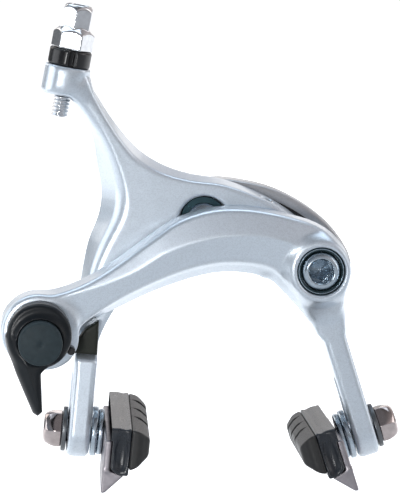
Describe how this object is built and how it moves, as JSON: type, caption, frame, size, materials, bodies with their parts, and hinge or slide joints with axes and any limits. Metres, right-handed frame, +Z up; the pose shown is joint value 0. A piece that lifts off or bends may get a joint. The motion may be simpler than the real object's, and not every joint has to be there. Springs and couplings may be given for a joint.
{
  "type": "rim brake caliper",
  "caption": "Dual-pivot side-pull rim brake caliper: two forged arms on a crown bolt and bracket, barrel adjuster, quick-release cable anchor and adjustable brake shoes.",
  "frame": {"origin": "on the mounting bolt's axis, in the plane where the toothed washer seats on the fork crown", "axes": "+Y along the mounting bolt towards the fork, +Z up the steerer, +X to the right seen from the front; arms at rest fully open"},
  "size_m": [0.0873, 0.06, 0.1126],
  "materials": {
    "arm_paint": "satin metallic silver paint",
    "zinc_steel": "bright zinc plate",
    "chrome": "polished chrome",
    "dark_steel": "dark spring steel",
    "black_plastic": "fine moulded texture",
    "nylon": "smooth black nylon",
    "bronze": "plain bearing bronze",
    "pad_rubber": "moulded rubber",
    "shoe_metal": "dull zinc plate",
    "bracket_paint": "satin grey paint"
  },
  "bodies": {
    "bracket": {"centre_bolt": "zinc_steel", "crown_washer": "dark_steel", "pivot_bracket": "bracket_paint", "centre_thrust_washer": "nylon", "centre_lock_washer": "zinc_steel", "centre_nut": "zinc_steel", "side_pivot_bolt": "zinc_steel", "side_head_washer": "zinc_steel", "side_dust_ring": "nylon", "side_thrust_washer": "nylon", "return_spring": "dark_steel"},
    "rear_arm": {"rear_arm": "arm_paint", "rear_arm_bush": "bronze", "arm_stop_pad": "black_plastic", "left_spring_sleeve": "black_plastic"},
    "centring_screw": {"centring_screw": "zinc_steel"},
    "adjuster_ring": {"adjuster_ring": "black_plastic"},
    "adjuster_barrel": {"adjuster_barrel": "chrome"},
    "left_foot": {"left_outer_washer": "zinc_steel", "left_dished_washer": "zinc_steel", "left_domed_washer": "zinc_steel"},
    "left_shoe": {"left_stud": "zinc_steel", "left_nut": "zinc_steel", "left_backing_plate": "shoe_metal", "left_pad_holder": "black_plastic", "left_pad": "pad_rubber"},
    "front_arm": {"front_arm": "arm_paint", "front_arm_bush": "bronze", "right_spring_sleeve": "black_plastic"},
    "lever": {"quick_release_lever": "black_plastic", "lever_cap": "black_plastic", "cam_shaft": "zinc_steel", "anchor_plate": "zinc_steel", "anchor_bolt": "zinc_steel"},
    "right_foot": {"right_outer_washer": "zinc_steel", "right_dished_washer": "zinc_steel", "right_domed_washer": "zinc_steel"},
    "right_shoe": {"right_stud": "zinc_steel", "right_nut": "zinc_steel", "right_backing_plate": "shoe_metal", "right_pad_holder": "black_plastic", "right_pad": "pad_rubber"}
  },
  "joints": [
    {"name": "front_arm_swing", "type": "hinge", "parent": "bracket", "child": "front_arm", "pos_m": [0.0245, -0.016, -0.0124], "axis": [0, 1, 0], "range_deg": [0, 10.1], "stiffness_Nm_per_rad": 2, "springref_deg": -14.32, "deforming": ["return_spring"]},
    {"name": "rear_arm_swing", "type": "hinge", "parent": "bracket", "child": "rear_arm", "pos_m": [0, -0.012, 0], "axis": [0, -1, 0], "range_deg": [0, 7.4], "deforming": ["return_spring"]},
    {"name": "centring_screw_turn", "type": "hinge", "parent": "rear_arm", "child": "centring_screw", "pos_m": [0.0145, -0.0135, -0.003], "axis": [0, 0, 1], "range_deg": [-360, 360]},
    {"name": "adjuster_lift", "type": "slide", "parent": "rear_arm", "child": "adjuster_ring", "axis": [0.2656, 0, 0.9641], "range_m": [0, 0.004]},
    {"name": "adjuster_turn", "type": "hinge", "parent": "adjuster_ring", "child": "adjuster_barrel", "pos_m": [-0.02577, -0.0135, 0.04142], "axis": [0.2656, 0, 0.9641], "range_deg": [0, 1800]},
    {"name": "quick_release_turn", "type": "hinge", "parent": "front_arm", "child": "lever", "pos_m": [-0.0388, -0.022, -0.0202], "axis": [0, 1, 0], "range_deg": [0, 90]},
    {"name": "left_shoe_height", "type": "slide", "parent": "rear_arm", "child": "left_foot", "axis": [0.1719, 0, 0.9851], "range_m": [0, 0.0098]},
    {"name": "left_shoe_turn", "type": "hinge", "parent": "left_foot", "child": "left_shoe", "pos_m": [-0.0316, -0.0145, -0.0451], "axis": [0.9846, -0.0314, -0.1718], "range_deg": [-8, 8]},
    {"name": "right_shoe_height", "type": "slide", "parent": "front_arm", "child": "right_foot", "axis": [-0.2181, 0, 0.9759], "range_m": [0, 0.0098]},
    {"name": "right_shoe_turn", "type": "hinge", "parent": "right_foot", "child": "right_shoe", "pos_m": [0.032, -0.0145, -0.0509], "axis": [-0.9759, 0, -0.2181], "range_deg": [-8, 8]}
  ],
  "couplings": [
    {"joint": "rear_arm_swing", "follows": "front_arm_swing", "ratio": 0.7228},
    {"joint": "adjuster_turn", "follows": "adjuster_lift", "rad_per_m": 7853.9}
  ]
}
